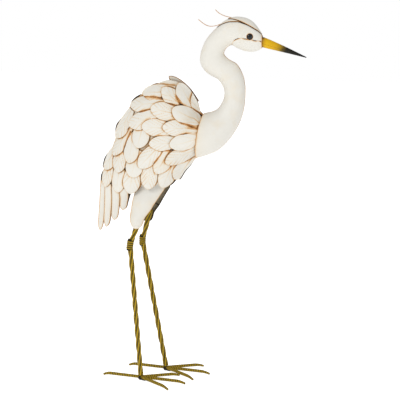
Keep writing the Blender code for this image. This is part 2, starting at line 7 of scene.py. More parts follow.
import bmesh
import bpy
import numpy as np
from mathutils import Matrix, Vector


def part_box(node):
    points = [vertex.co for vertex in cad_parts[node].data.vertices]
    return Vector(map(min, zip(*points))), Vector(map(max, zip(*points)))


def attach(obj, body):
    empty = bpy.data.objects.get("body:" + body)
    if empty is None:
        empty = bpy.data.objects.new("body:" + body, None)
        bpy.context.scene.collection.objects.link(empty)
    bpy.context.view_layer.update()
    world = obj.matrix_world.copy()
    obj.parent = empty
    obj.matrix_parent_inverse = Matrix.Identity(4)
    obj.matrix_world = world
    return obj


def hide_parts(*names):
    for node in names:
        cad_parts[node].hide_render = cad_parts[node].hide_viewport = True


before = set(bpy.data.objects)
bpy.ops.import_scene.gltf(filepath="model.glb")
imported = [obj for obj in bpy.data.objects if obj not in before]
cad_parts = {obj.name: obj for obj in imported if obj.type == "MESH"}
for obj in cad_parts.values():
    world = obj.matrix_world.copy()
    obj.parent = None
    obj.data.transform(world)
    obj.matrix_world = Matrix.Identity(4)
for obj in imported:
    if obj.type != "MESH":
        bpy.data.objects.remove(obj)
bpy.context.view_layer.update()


# Neck, breast and head: one long shell of two half stampings, left and right, of thin sheet steel.
# They are welded along the middle plane, filed smooth and painted off-white, then wiped with a thin
# brown glaze that stays in the seams, behind the beak and along the rim over the breast feathers. A
# broad tan band above the rim is partly tan smudges of glaze and partly painted shade of the breast's
# underside.
NECK_STATIONS = (
    ((169.5, 921), (169.5, 951), 11), ((158, 914), (155, 972), 16.5),
    ((143.5, 910.5), (139, 987), 20.5), ((122, 912.5), (119, 994.5), 23.5),
    ((103, 920), (96, 995), 25), ((90, 926), (74, 988), 25.5), ((79, 921), (53, 971), 24.5),
    ((72, 912), (37, 955), 23.5), ((69.5, 904), (22, 936), 23), ((72, 898), (12, 913), 23),
    ((79, 891), (7.5, 893), 24), ((90, 884.5), (8.5, 877), 24.5), ((101, 879), (17, 861), 25),
    ((109, 870), (32, 848), 25), ((116, 857), (50, 839), 25), ((122, 842), (61, 829), 25),
    ((126, 822), (69, 815), 25.5), ((126.5, 800), (71.5, 801), 26), ((125, 776), (69, 785), 28),
    ((121, 752), (62, 770), 31), ((113.5, 728), (52, 758), 36), ((101, 703), (38, 751), 43),
    ((82, 676), (28, 748.5), 50), ((56, 650), (22, 747), 55.5), ((28, 636), (19, 746.2), 58.5),
    ((-0.5, 626.4), (16.5, 745.4), 60),
)
NECK_ROWS = 260
NECK_SIDES = 104
SEAM_HEIGHT = 0.45
SEAM_WIDTH = 1.1
RIM_SHEET = 1.6
RIM_DEPTH = 4
THROAT = np.array([88, 0, 926])

SIDES = (("right", -1.0), ("left", 1.0))
neck_low, neck_high = (np.array(corner) * 1000 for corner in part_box("neck_shell"))
ORIGIN = np.array([neck_high[0] - NECK_STATIONS[0][0][0], (neck_low[1] + neck_high[1]) / 2, 0])


def smooth_curve(knots, values, at):
    """Cubic through the values, its slope at each knot taken from the knots beside it."""
    knots, values, at = np.asarray(knots, float), np.asarray(values, float), np.asarray(at, float)
    slopes = np.gradient(values, knots, axis=0)
    place = np.clip(np.searchsorted(knots, at, side="right") - 1, 0, len(knots) - 2)
    step = knots[place + 1] - knots[place]
    share = (at - knots[place]) / step
    shape = share.shape + (1,) * (values.ndim - 1)
    share, step = share.reshape(shape), step.reshape(shape)
    return (
        (1 + 2 * share) * (1 - share) ** 2 * values[place]
        + share**2 * (3 - 2 * share) * values[place + 1]
        + share * (1 - share) ** 2 * step * slopes[place]
        - share**2 * (1 - share) * step * slopes[place + 1]
    )


def fade(distance, reach):
    """What falls off by e over each reach: exp of minus distance over reach."""
    return np.exp(-distance / reach)


def bell(distance, reach):
    """A soft line: exp of minus the square of distance over reach."""
    return np.exp(-((distance / reach) ** 2))


def unit(vectors):
    """Vectors scaled to length 1."""
    return vectors / np.linalg.norm(vectors, axis=-1, keepdims=True)


def sheet_faces(rows, columns):
    """Quads of a sheet's under side, upper side and rim, its two grids stored one after the other."""
    low = np.arange(rows * columns).reshape(rows, columns)
    quads = [
        np.stack([grid[:-1, :-1], grid[:-1, 1:], grid[1:, 1:], grid[1:, :-1]], axis=-1).reshape(-1, 4)
        for grid in (low, low + low.size)
    ]
    rim = np.concatenate([low[0, :-1], low[:-1, -1], low[-1, :0:-1], low[:0:-1, 0]])
    ahead = np.roll(rim, -1)
    quads.append(np.stack([rim, ahead, ahead + low.size, rim + low.size], axis=-1))
    return np.concatenate(quads).tolist()


def add_object(name, data):
    """An object at the origin, linked to the scene."""
    made = bpy.data.objects.new(name, data)
    bpy.context.scene.collection.objects.link(made)
    return made


def add_piece(name, points, faces, finish, slot, nodes, crease=32, **marks):
    """A closed mesh from a grid of places in drawing millimetres, facing outwards, that stands for its
    CAD nodes. Each mark spreads over that grid as one number a vertex, read by name in the finish."""
    mesh = bpy.data.meshes.new(name)
    place = (points.reshape(-1, 3) + ORIGIN) / 1000
    mesh.from_pydata(place.tolist(), [], faces)
    shape = bmesh.new()
    shape.from_mesh(mesh)
    bmesh.ops.recalc_face_normals(shape, faces=shape.faces)
    shape.to_mesh(mesh)
    shape.free()
    for mark, values in marks.items():
        layer = mesh.attributes.new(mark, "FLOAT", "POINT")
        spread = np.broadcast_to(values, points.shape[:-1])
        layer.data.foreach_set("value", np.ascontiguousarray(spread.ravel(), np.float32))
    mesh.shade_smooth()
    mesh.set_sharp_from_angle(angle=np.radians(crease))
    mesh.materials.append(finish)
    piece = add_object(name, mesh)
    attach(piece, "root")
    if nodes:
        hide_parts(*nodes)
    return piece


def circle(first, second, sides):
    """Unit vectors evenly round a circle that starts at the first of two and heads for the second."""
    turn = np.arange(sides)[:, None] * 2 * np.pi / sides
    return np.cos(turn) * first + np.sin(turn) * second


def add_loft(name, rings, finish, slot, nodes, **marks):
    """A piece from rings of a closed outline: quads between them and one flat face over each end."""
    index = np.arange(rings[..., 0].size).reshape(rings.shape[:2])
    beside = np.roll(index, -1, axis=1)
    walls = np.stack([index[:-1], beside[:-1], beside[1:], index[1:]], axis=-1).reshape(-1, 4)
    faces = walls.tolist() + [index[0].tolist(), index[-1].tolist()]
    return add_piece(name, rings, faces, finish, slot, nodes, **marks)


def colour(code):
    """Linear RGBA from an sRGB hex code such as F2EDE2."""
    parts = np.array([int(code[i:i + 2], 16) for i in (0, 2, 4)]) / 255
    linear = np.where(parts <= 0.04045, parts / 12.92, ((parts + 0.055) / 1.055) ** 2.4)
    return (*linear.tolist(), 1.0)


def add_node(tree, kind, inputs=None, stops=None, **settings):
    """A shader node with its settings. An input is a value or the socket that feeds it, and stops are
    the places and hex colours of a ramp."""
    made = tree.nodes.new(kind)
    for setting, value in settings.items():
        setattr(made, setting, value)
    for key, value in (inputs or {}).items():
        if isinstance(value, bpy.types.NodeSocket):
            tree.links.new(value, made.inputs[key])
        else:
            made.inputs[key].default_value = value
    if stops:
        ramp = made.color_ramp.elements
        while len(ramp) < len(stops):
            ramp.new(0.5)
        for element, (where, code) in zip(ramp, stops):
            element.position, element.color = where, colour(code)
    return made


def new_finish(name, **sockets):
    """An empty material: its node tree and its shader, with the values that hold all over it."""
    made = bpy.data.materials.new(name)
    made.use_nodes = True
    shader = made.node_tree.nodes["Principled BSDF"]
    for socket, value in sockets.items():
        shader.inputs[socket.replace("_", " ")].default_value = value
    return made, made.node_tree, shader


def blotches(tree, grain_mm, detail=3.0):
    """Soft noise whose lumps are about grain_mm across, as a socket from 0 to 1."""
    place = add_node(tree, "ShaderNodeTexCoord").outputs["Object"]
    inputs = {"Vector": place, "Scale": 1000 / grain_mm, "Detail": detail}
    return add_node(tree, "ShaderNodeTexNoise", inputs).outputs["Fac"]


def sums(tree, operation, first, second, **settings):
    """What a math node gives for two values or sockets."""
    inputs = {0: first, 1: second}
    return add_node(tree, "ShaderNodeMath", inputs, operation=operation, **settings).outputs[0]


def mark_of(tree, name):
    """A mark of the mesh as a socket."""
    return add_node(tree, "ShaderNodeAttribute", attribute_name=name).outputs["Fac"]


def ramp_of(tree, value, stops):
    """The colours of a ramp over a socket's value."""
    return add_node(tree, "ShaderNodeValToRGB", {"Fac": value}, stops=stops).outputs["Color"]


def blend(tree, share, first, second):
    """Two colours mixed by the share of the second."""
    inputs = {0: share, 6: first, 7: second}
    return add_node(tree, "ShaderNodeMix", inputs, data_type="RGBA").outputs[2]


def finish_off(tree, shader, base, height, depth_mm, strength):
    """Joins a colour and a bump of some depth to the shader."""
    inputs = {"Height": height, "Distance": depth_mm / 1000, "Strength": strength}
    bump = add_node(tree, "ShaderNodeBump", inputs)
    tree.links.new(bump.outputs["Normal"], shader.inputs["Normal"])
    tree.links.new(base, shader.inputs["Base Color"])


# Off-white enamel, brushed on by hand and wiped with brown glaze: the eye gets a satin warm white with
# faint tan clouds, and caramel to dark brown lines wherever the mark "glaze" says that glaze gathers. The
# same mark carries painted shade in the gaps under feathers and above the breast's rim, which the
# darkest stops of the ramp show.
PAINT_WHITE = "F6F3EA"
GLAZE_AND_SHADE_STOPS = (
    (0.0, PAINT_WHITE), (0.12, "F5ECDA"), (0.30, "E9C290"), (0.50, "CE8E4C"), (0.68, "96602A"),
    (0.84, "4A3018"), (1.0, "1C140C"),
)
INSIDE_STOPS = ((0.1, "9A9077"), (0.35, "7D725A"), (0.75, "3A2D1B"), (1.0, "1C130B"))
GROOVE_GLAZE = 0.34


def enamel(name, roughness=0.42, grain_mm=34, bump_mm=0.25, lines=None):
    """Off-white enamel, grey-brown where the mark "inside" is 1. Lines names one more mark, which
    grooves the paint as the barbs of a feather do."""
    made, tree, shader = new_finish(name, Roughness=roughness, Specular_IOR_Level=0.35)
    glaze = mark_of(tree, "glaze")
    cloud = blotches(tree, grain_mm)
    fine = blotches(tree, 4.0, 4.0)
    broken = sums(tree, "MULTIPLY", glaze, sums(tree, "ADD", sums(tree, "MULTIPLY", fine, 0.9), 0.55))
    clouded = sums(tree, "MAXIMUM", sums(tree, "SUBTRACT", cloud, 0.52), 0.0)
    tint = sums(tree, "MULTIPLY", clouded, 0.4)
    total = sums(tree, "ADD", broken, tint, use_clamp=True)
    height = sums(tree, "MULTIPLY", fine, 0.35)
    if lines:
        groove = mark_of(tree, lines)
        in_groove = sums(tree, "MULTIPLY", groove, GROOVE_GLAZE)
        total = sums(tree, "ADD", total, in_groove, use_clamp=True)
        height = sums(tree, "SUBTRACT", height, groove)
    # the dark end of this ramp is reached by the deepest painted shade in the gaps
    outside = ramp_of(tree, total, GLAZE_AND_SHADE_STOPS)
    wash = sums(tree, "ADD", glaze, sums(tree, "MULTIPLY", fine, 0.35))
    skin = blend(tree, mark_of(tree, "inside"), outside, ramp_of(tree, wash, INSIDE_STOPS))
    finish_off(tree, shader, skin, height, bump_mm, 0.6)
    return made


neck_enamel = enamel("satin_off_white_enamel_on_pressed_steel")
STATIONS = np.array([[*front, *back, width] for front, back, width in NECK_STATIONS], float)


def neck_outline(along):
    """Front points, back points and half widths at stations counted from the beak, also between them."""
    values = smooth_curve(np.arange(len(STATIONS)), STATIONS, along)
    return values[..., 0:2], values[..., 2:4], values[..., 4]


def neck_skin(along, angle, lift=0.0):
    """Ellipse between the front and back points of a station, plus a lift; angle 0 is the front or chin,
    pi the back or crown, and a positive angle lies on the left. The two arguments broadcast."""
    front, back, width = neck_outline(along)
    middle, reach = (front + back) / 2, (front - back) / 2
    length = np.linalg.norm(reach, axis=-1)
    grown = reach * (1 + lift / length)[..., None]
    plane = middle + np.cos(angle)[..., None] * grown
    return np.stack([plane[..., 0], np.sin(angle) * (width + lift), plane[..., 1]], axis=-1)


def crowded_angles(sides):
    """Angles round a ring, closer together at the two seams: theta less 0.42 sin 2 theta."""
    turn = np.arange(sides) * 2 * np.pi / sides
    return turn - 0.42 * np.sin(2 * turn)


LAST_STATION = len(STATIONS) - 1.0
neck_along = np.concatenate([[0], np.linspace(0.01, LAST_STATION - 0.03, NECK_ROWS - 2), [LAST_STATION]])
along, angle = np.meshgrid(neck_along, crowded_angles(NECK_SIDES), indexing="ij")
_, _, width = neck_outline(along)
from_seam = np.abs(np.sin(angle)) * width
seam = SEAM_HEIGHT * bell(from_seam, SEAM_WIDTH) * np.clip(along * 2, 0, 1)
neck_points = neck_skin(along, angle, seam)
last = np.full(NECK_SIDES, LAST_STATION)
cut_normal = unit(np.array([119.0, 0, -17.0]))
inner = [
    neck_skin(last, crowded_angles(NECK_SIDES), -RIM_SHEET),
    neck_skin(last, crowded_angles(NECK_SIDES), -5 * RIM_SHEET) + cut_normal * RIM_DEPTH,
]
neck_points = np.concatenate([neck_points, np.stack(inner)])
to_rim = np.linalg.norm(neck_points[:NECK_ROWS] - neck_points[NECK_ROWS - 1], axis=-1)
to_beak = neck_points[0, :, 0].max() - neck_points[:NECK_ROWS, :, 0]
to_beak = np.maximum(to_beak, 0)
throat = np.linalg.norm(neck_points[:NECK_ROWS] - THROAT, axis=-1)
neck_glaze_and_shade = (
    (0.55 + 0.2 * np.sin(along * 2.9)) * bell(from_seam, 2.3)
    + 0.07 * fade(from_seam, 7)
    # thin glaze line at the rim; the broad band above it is partly painted shade of the breast's
    # underside
    + 0.45 * fade(to_rim, 1.4) + 0.13 * fade(to_rim, 16)
    + np.where(along < 1.5, 0.4 * fade(to_beak, 1.2) + 0.1 * fade(to_beak, 5), 0)
    + 0.75 * bell(throat, 4.0) + 0.1 * fade(throat, 14)
)
neck_glaze_and_shade = np.concatenate([neck_glaze_and_shade, np.ones((2, NECK_SIDES))])
add_loft(
    "neck_and_breast_shell", neck_points, neck_enamel, "off_white_steel", ["neck_shell"],
    glaze=neck_glaze_and_shade, inside=0.0,
)


# Cheeks: a thin leaf of sheet on each side of the head, from the beak to the throat, spot-welded over
# the head's shell. Its upper edge is the brown line below the eye.
CHEEK_EDGE = (  # station, degrees from the chin
    (0.1, 94), (1, 84), (1.7, 81), (2.7, 80), (3.35, 77), (3.85, 68), (4.3, 53), (4.65, 32), (4.88, 9),
)
CHEEK_BOTTOM = 1.5
CHEEK_LIFT = 0.9
CHEEK_ROWS, CHEEK_COLUMNS = 90, 30
LEAF_SHEET = 0.9


def sheet_on_neck(along, low, high, lift, columns, side=1.0):
    """Grids of a sheet over the neck's skin between two angles at each station, its upper face lifted,
    with each point's distance from the long edges and its share of the way from low to high."""
    share = np.linspace(0, 1, columns)
    angle = low[:, None] + (high - low)[:, None] * share
    station = np.broadcast_to(along[:, None], angle.shape)
    over = neck_skin(station, side * angle, lift)
    under = neck_skin(station, side * angle, lift - LEAF_SHEET)
    edge = np.minimum(share, 1 - share) * np.linalg.norm(over[:, -1] - over[:, 0], axis=-1)[:, None]
    return over, under, edge, share


def add_sheet(name, over, under, glaze, finish, slot, nodes, inside=0.0, under_glaze=None, **marks):
    """Closed sheet from two grids, the under side marked inside. Both sides carry the same glaze, unless
    the under side has its own."""
    below = glaze if under_glaze is None else under_glaze
    add_piece(
        name, np.stack([under, over]), sheet_faces(*over.shape[:2]), finish, slot, nodes,
        glaze=np.stack([below, glaze]), inside=np.array([inside, 0.0])[:, None, None], **marks,
    )


cheek_along = np.linspace(CHEEK_EDGE[0][0], CHEEK_EDGE[-1][0], CHEEK_ROWS)
cheek_top = np.radians(smooth_curve(*np.transpose(CHEEK_EDGE), cheek_along))
for side_name, side in SIDES:
    cheek_bottom = np.full(CHEEK_ROWS, np.radians(CHEEK_BOTTOM))
    over, under, edge, share = sheet_on_neck(
        cheek_along, cheek_bottom, cheek_top, CHEEK_LIFT, CHEEK_COLUMNS, side
    )
    to_top = (1 - share) * np.linalg.norm(over[:, -1] - over[:, 0], axis=-1)[:, None]
    to_end = np.abs(over[:, :, 0] - over[0, 0, 0])
    broken = np.clip(0.62 + 0.5 * np.sin(cheek_along * 5.2 + 1.0), 0.15, 1)[:, None]
    cheek_glaze = (
        0.95 * broken * bell(to_top, 1.4)
        + 0.12 * fade(edge, 2) + 0.3 * fade(to_end, 1.2)
    )
    add_sheet(f"cheek_plate_{side_name}", over, under, cheek_glaze, neck_enamel, "off_white_steel", ())


# Crest: two pointed leaves of sheet, one over the other, lie on the crown from the beak to the nape.
# Each is drawn out behind into a narrow strip that curls up, and brown glaze lines their edges.
CAP_EDGE = (  # station, degrees from the crown
    (0.12, 17), (0.35, 27), (0.9, 42), (1.66, 50), (2.28, 49), (2.84, 45), (3.46, 38), (4.08, 28),
    (4.68, 15),
)
UNDER_EDGE = ((2.2, 48), (2.84, 47), (3.46, 43), (3.94, 43), (4.5, 40), (5.1, 35), (5.6, 24), (6.1, 8))
CAP_LIFT = 2.4
UNDER_LIFT = 1.2
LEAF_ROWS, LEAF_COLUMNS = 90, 36
PLUME_WIDTH = 5.0
PLUME_SHEET = 1.2
PLUME_ROWS = 60
UPPER_PLUME = ((112, 992.5), (98, 994.8), (81, 997), (67, 1001), (56, 1006.5), (46.5, 1014.8))
LOWER_PLUME = ((78, 988.5), (70, 984.4), (60, 978.8), (46, 973.8), (30, 973), (15, 979.5), (2.5, 989.4))


def crest_leaf(name, edge_stations, lift, nodes):
    """Leaf over the crown: from the crown less the edge angle to the crown plus it, at each station."""
    stations = np.linspace(edge_stations[0][0], edge_stations[-1][0], LEAF_ROWS)
    spread = np.radians(smooth_curve(*np.transpose(edge_stations), stations))
    over, under, edge, _ = sheet_on_neck(
        stations, np.pi - spread, np.pi + spread, lift, LEAF_COLUMNS
    )
    glaze = 0.95 * bell(edge, 1.5) + 0.12 * fade(edge, 4)
    glaze = glaze + 0.8 * fade(np.linalg.norm(over - over[-1].mean(axis=0), axis=-1), 5)
    add_sheet(name, over, under, glaze, neck_enamel, "off_white_steel", nodes)


def plume(name, route, root_half, nodes):
    """Strip along a path in the middle plane: over the first part its half width falls from the root's
    to the strip's by a power of the share left, and on to 0.4 of that at the tip."""
    route = np.array(route, float)
    travelled = np.concatenate([[0], np.cumsum(np.linalg.norm(np.diff(route, axis=0), axis=1))])
    path = smooth_curve(travelled, route, np.linspace(0, travelled[-1], PLUME_ROWS))
    share = np.linspace(0, 1, len(path))
    travel = unit(np.gradient(path, axis=0))
    normal = np.stack([-travel[:, 1], travel[:, 0]], axis=-1)
    normal *= np.sign(normal[:, 1:])
    half = (
        PLUME_WIDTH / 2 * (1 - 0.6 * share**3)
        + (root_half - PLUME_WIDTH / 2) * np.maximum(1 - share * 2.2, 0) ** 1.6
    )
    across = np.linspace(-1, 1, 9)
    y = half[:, None] * across
    sag = half[:, None] ** 2 * across**2 / 26
    grids = []
    for rise in (PLUME_SHEET / 2, -PLUME_SHEET / 2):
        flat = path[:, None] + normal[:, None] * (rise - sag)[..., None]
        grids.append(np.stack([flat[..., 0], y, flat[..., 1]], axis=-1))
    edge = half[:, None] * (1 - np.abs(across))
    glaze = 0.3 * fade(edge, 0.6) + 0.16
    add_sheet(name, *grids, glaze, neck_enamel, "off_white_steel", nodes)


crest_leaf("crest_cap_leaf", CAP_EDGE, CAP_LIFT, ["crest_cap"])
crest_leaf("crest_under_leaf", UNDER_EDGE, UNDER_LIFT, ())
plume("crest_upper_plume", UPPER_PLUME, 6.5, ())
plume("crest_lower_plume", LOWER_PLUME, 8.0, ["crest_plume"])


# Beak: two tapered half stampings closed into a long cone and welded into the head. It is sprayed
# golden yellow, then black from the middle to the tip, and a dark line of glaze rings its base.
BEAK_BASE_TOP = np.array([173.5, 946.5])
BEAK_BASE_BOTTOM = np.array([172.0, 921.0])
BEAK_TIP = np.array([282.5, 898.4])
BEAK_HALF_WIDTH = 9.5
BEAK_TIP_RADIUS = 1.1
BEAK_RINGS = 120
BEAK_SIDES = 64
MOUTH_ANGLE = np.radians(100)
MOUTH_DEPTH = 0.55
BEAK_STOPS = (
    (0.0, "D2980A"), (0.12, "EFBE0A"), (0.30, "E6B20C"), (0.42, "BC9410"), (0.50, "645014"),
    (0.58, "201C0E"), (1.0, "0F0E0A"),
)

beak_paint, tree, shader = new_finish(
    "sprayed_golden_yellow_and_black_enamel", Roughness=0.4, Specular_IOR_Level=0.3
)
spatter = sums(tree, "MULTIPLY", blotches(tree, 6.0, 4.0), 0.1)
spray = sums(tree, "ADD", mark_of(tree, "along"), spatter)
paint = ramp_of(tree, spray, BEAK_STOPS)
glazed = blend(tree, mark_of(tree, "glaze"), paint, colour("2E1B08"))
finish_off(tree, shader, glazed, blotches(tree, 1.6), 0.1, 0.4)

share = np.concatenate([[-0.045, -0.03], np.linspace(0, 1, BEAK_RINGS) ** 0.9])
turn = np.arange(BEAK_SIDES) * 2 * np.pi / BEAK_SIDES
taper = np.clip(1 - np.maximum(share, 0) ** 1.15, 0, 1)
base_middle = (BEAK_BASE_TOP + BEAK_BASE_BOTTOM) / 2
upright = unit(BEAK_BASE_TOP - BEAK_BASE_BOTTOM)
centre = base_middle + share[:, None] * (BEAK_TIP - base_middle)
centre[:, 1] += 3 * share * (1 - share)
depth = taper * np.linalg.norm(BEAK_BASE_TOP - BEAK_BASE_BOTTOM) / 2 + (1 - taper) * BEAK_TIP_RADIUS
wide = taper * BEAK_HALF_WIDTH + (1 - taper) * BEAK_TIP_RADIUS
shrink = np.where(share < -0.04, 0.8, np.where(share < 0, 0.93, 1.0))
from_top = np.abs((turn + np.pi) % (2 * np.pi) - np.pi)
from_mouth = np.abs(from_top - MOUTH_ANGLE)[None] * depth[:, None]
groove = MOUTH_DEPTH * bell(from_mouth, 0.7) * np.clip(2 * (1 - share), 0, 1)[:, None]
ridge = 0.6 * bell(turn, 0.35) + 0.6 * bell(turn - 2 * np.pi, 0.35)
across = np.sin(turn)[None] * (wide * shrink)[:, None]
up = np.cos(turn)[None] * (depth * shrink)[:, None] + ridge[None] * taper[:, None]
flat = centre[:, None] + up[..., None] * upright
across = across * (1 - groove / np.maximum(wide, 2)[:, None])
beak_points = np.stack([flat[..., 0], across, flat[..., 1]], axis=-1)
slanted = np.maximum(share, 0)[:, None] - 0.03 * np.cos(turn)[None]
beak_dark = fade(np.maximum(share, 0), 0.016)[:, None] * (0.25 + 0.7 * np.cos(turn) ** 4)
beak_dark = beak_dark + 0.25 * groove / MOUTH_DEPTH
add_loft(
    "beak_cone", beak_points, beak_paint, "yellow_beak", ["beak"],
    along=slanted, glaze=np.clip(beak_dark, 0, 1),
)


# Eyes: a black glass half bead on each side, set in a low punched ring of the head's sheet. Brown
# glaze gathers inside the ring.
EYE_STATION = 2.08
EYE_ANGLE = np.radians(91)
EYE_RADIUS = 7.2
EYE_RISE = 3.4
RING_WIDTH = 1.6

eye_glass, tree, shader = new_finish(
    "black_glass_bead", Roughness=0.12, Specular_IOR_Level=0.45, Coat_Weight=0.2, Coat_Roughness=0.05
)
depths = ramp_of(tree, blotches(tree, 5.0), ((0.3, "040506"), (0.7, "10171C")))
tree.links.new(depths, shader.inputs["Base Color"])
for side_name, side in SIDES:
    here = neck_skin(np.array([EYE_STATION]), np.array([side * EYE_ANGLE]))[0]
    ahead = neck_skin(np.array([EYE_STATION - 0.05]), np.array([side * EYE_ANGLE]))[0]
    above = neck_skin(np.array([EYE_STATION]), np.array([side * (EYE_ANGLE + 0.05)]))[0]
    out = unit(np.cross(ahead - here, above - here))
    out *= np.sign(out[1]) * side
    first = unit(np.cross(out, [0, 0, 1.0]))
    ray = circle(first, np.cross(out, first), 40)
    rise = np.concatenate([[-0.35, 0], np.linspace(0.05, 0.985, 14)])
    radius = EYE_RADIUS * np.cos(np.maximum(rise, 0) * np.pi / 2)
    height = np.where(rise < 0, -2.5, EYE_RISE * np.sin(np.maximum(rise, 0) * np.pi / 2))
    dome = here + ray * radius[:, None, None] + out * height[:, None, None]
    add_loft(f"eye_bead_{side_name}", dome, eye_glass, "black_eye", [f"eye_{side_name}"])
    profile = np.arange(16) * 2 * np.pi / 16
    ring_radius = EYE_RADIUS + RING_WIDTH / 2 + np.cos(profile) * RING_WIDTH / 2
    ring_height = 0.2 + np.sin(profile) * 1.0
    ring = here + ray[:, None] * ring_radius[:, None] + out * ring_height[:, None]
    index = np.arange(ring.shape[0] * ring.shape[1]).reshape(ring.shape[:2])
    beside, next_ring = np.roll(index, -1, axis=1), np.roll(index, -1, axis=0)
    quads = np.stack([index, beside, np.roll(next_ring, -1, axis=1), next_ring], axis=-1)
    add_piece(
        f"eye_ring_{side_name}", ring, quads.reshape(-1, 4).tolist(), neck_enamel, "off_white_steel", (),
        glaze=0.95 * bell(profile - np.pi, 1.9) + 0.12, inside=0.0,
    )


# Body: an egg-shaped shell of sheet steel that carries the feathers and closes against the breast's
# rim. Little of it shows: light enamel between the feathers, with brown glaze lines and painted shade
# along their edges.
BODY_CENTRE = np.array([-55.0, 690.0])
BODY_HALF_WIDTH = 62.0
BODY_BULGE = 2.6
RIM_START = 0.93
MOST_LEAN = 0.8
BODY_OUTLINE = (
    (38, 86, 86), (62, 104, 104), (80, 129, 129), (98, 145, 145), (119, 143, 143), (142, 144, 144),
    (161, 152, 152), (178, 164, 164), (190, 180, 180), (199, 200, 200), (207, 223, 222),
    (215, 247, 242), (226, 258, 234), (235, 226, 196), (245, 200, 172), (255, 175, 156),
    (263, 147, 138), (270, 125, 118), (279, 102, 98), (292, 89, 86), (310, 80, 80),
    (335, 110, 110), (360, 150, 150), (380, 120, 120),
)
RIM_LOW, RIM_HIGH = np.array([-0.5, 626.4]), np.array([16.5, 745.4])
COAT, SHELL = 1, 2
SHELL_DRAWN_IN = 0.975
SHELL_GAP = 0.6


def outline_radius(angle, column):
    """Reach of the coat of feathers or of the shell from the body's centre, at an angle in degrees."""
    outline = np.array(BODY_OUTLINE, float)
    knots = np.concatenate([outline[:, 0] - 360, outline[:, 0], outline[:, 0] + 360])
    return smooth_curve(knots, np.tile(outline[:, column], 3), np.mod(angle, 360))


def half_width(x, z, column=COAT):
    """Half the body's width beside a place in its middle plane: a power of the share of the way out to
    the outline, and from RIM_START on an exponential that thins to nothing past it."""
    across, up = x - BODY_CENTRE[0], z - BODY_CENTRE[1]
    share = np.hypot(across, up) / outline_radius(np.degrees(np.arctan2(up, across)), column)
    edge = 1 - RIM_START**BODY_BULGE
    fall = BODY_BULGE * RIM_START ** (BODY_BULGE - 1) / edge
    beyond = edge * np.exp(-fall * np.maximum(share - RIM_START, 0))
    inside = 1 - np.minimum(share, RIM_START) ** BODY_BULGE
    return BODY_HALF_WIDTH * np.where(share > RIM_START, beyond, inside)


def skin(x, z, rise, side):
    """Places at a height over the body's side, along its normal, which leans at most by MOST_LEAN."""
    step = 0.1
    slope_x = (half_width(x + step, z) - half_width(x - step, z)) / (2 * step)
    slope_z = (half_width(x, z + step) - half_width(x, z - step)) / (2 * step)
    lean = np.minimum(1, MOST_LEAN / np.maximum(np.hypot(slope_x, slope_z), 1e-9))
    slope_x, slope_z = slope_x * lean, slope_z * lean
    size = np.sqrt(1 + slope_x**2 + slope_z**2)
    out = half_width(x, z) + rise / size
    return np.stack([x - rise * slope_x / size, side * out, z - rise * slope_z / size], axis=-1)


coat_enamel = enamel("brown_glazed_off_white_enamel_on_feathers", 0.5, 46, 0.35, lines="barbs")
aim_angle = np.linspace(0, 360, 280, endpoint=False)
aim = np.stack([np.cos(np.radians(aim_angle)), np.sin(np.radians(aim_angle))], axis=-1)
rim_normal = unit(np.array([RIM_HIGH[1] - RIM_LOW[1], RIM_LOW[0] - RIM_HIGH[0]]))
ahead = (RIM_LOW - BODY_CENTRE) @ rim_normal - SHELL_GAP
to_rim_plane = ahead / np.maximum(aim @ rim_normal, 1e-6)
reach = np.minimum(SHELL_DRAWN_IN * outline_radius(aim_angle, SHELL), to_rim_plane)
shares = np.concatenate([[0.02], np.linspace(0.05, 0.93, 74), [0.95, 0.97, 0.985, 1.0]])
rings = []
for side, order in ((-1.0, shares), (1.0, shares[::-1])):
    flat = BODY_CENTRE + aim * (order[:, None] * reach)[..., None]
    x, z = flat[..., 0], flat[..., 1]
    rings.append(np.stack([x, side * (half_width(x, z, SHELL) - SHELL_GAP), z], axis=-1))
rings = np.concatenate(rings)


# Feathers: 28 leaves of thin sheet on each side and two more at the left ridge, dished and welded to
# the body in rows, tip over root like tiles. Each has a raised shaft and pressed barbs, and brown glaze
# is wiped into the gaps, where painted shade also darkens them under the feather edges. The body's shell
# is added here too, because its glaze and painted shade follow the feathers.
FEATHERS = (  # row, layer, tip x and z, seen base x and z, full width
    (1, 1.4, -8, 806, 15, 734, 36), (1, 0.8, -49, 822, -5, 756, 38), (1, 1.6, -55, 763, 11, 725, 40),
    (1, 0.8, -78, 717, 13, 710, 43), (1, 1.6, -60, 670, 13, 690, 42), (1, 0.9, -73, 623, 9, 662, 41),
    (1, 0.2, -59, 571, -10, 636, 40), (2, 0.6, -87, 809, -34, 771, 38),
    (2, 1.0, -112, 761, -46, 751, 44), (2, 0.4, -135, 714, -61, 715, 46),
    (2, 1.0, -114, 671, -55, 678, 40), (3, 0.3, -143, 794, -82, 803, 40),
    (3, 0.6, -176, 760, -100, 773, 40), (3, 0.9, -174, 712, -103, 745, 45),
    (3, 0.5, -147, 657, -136, 710, 49), (4, 0.6, -214, 673, -186, 726, 37),
    (5, 0.1, -221, 627, -181, 701, 37), (5, 0.6, -172, 615, -165, 668, 44),
    (5, 1.3, -144, 607, -96, 657, 43), (5, 0.4, -101, 593, -60, 657, 43),
    (6, 0.3, -250, 585, -229, 624, 36), (6, 0.8, -207, 585, -200, 644, 44),
    (6, 1.0, -167, 578, -155, 625, 48), (6, 0.6, -130, 546, -114, 607, 44),
    (6, 0.2, -92, 550, -58, 617, 40), (7, 0.9, -252, 538, -237, 591, 34),
    (7, 0.2, -215, 529, -205, 589, 40), (7, 0.9, -181, 530, -164, 592, 46),
)
FAR_FEATHERS = ((2, 2.4, -79, 836, -24, 790, 32), (3, 1.8, -131, 804, -70, 800, 34))
HIDDEN_ROOT = 28.0
SHORT_ROOT = 8.0
LEAF_BOW = 1.2
FAR_MORE = 0.04
PROUD_EDGE = 1.18
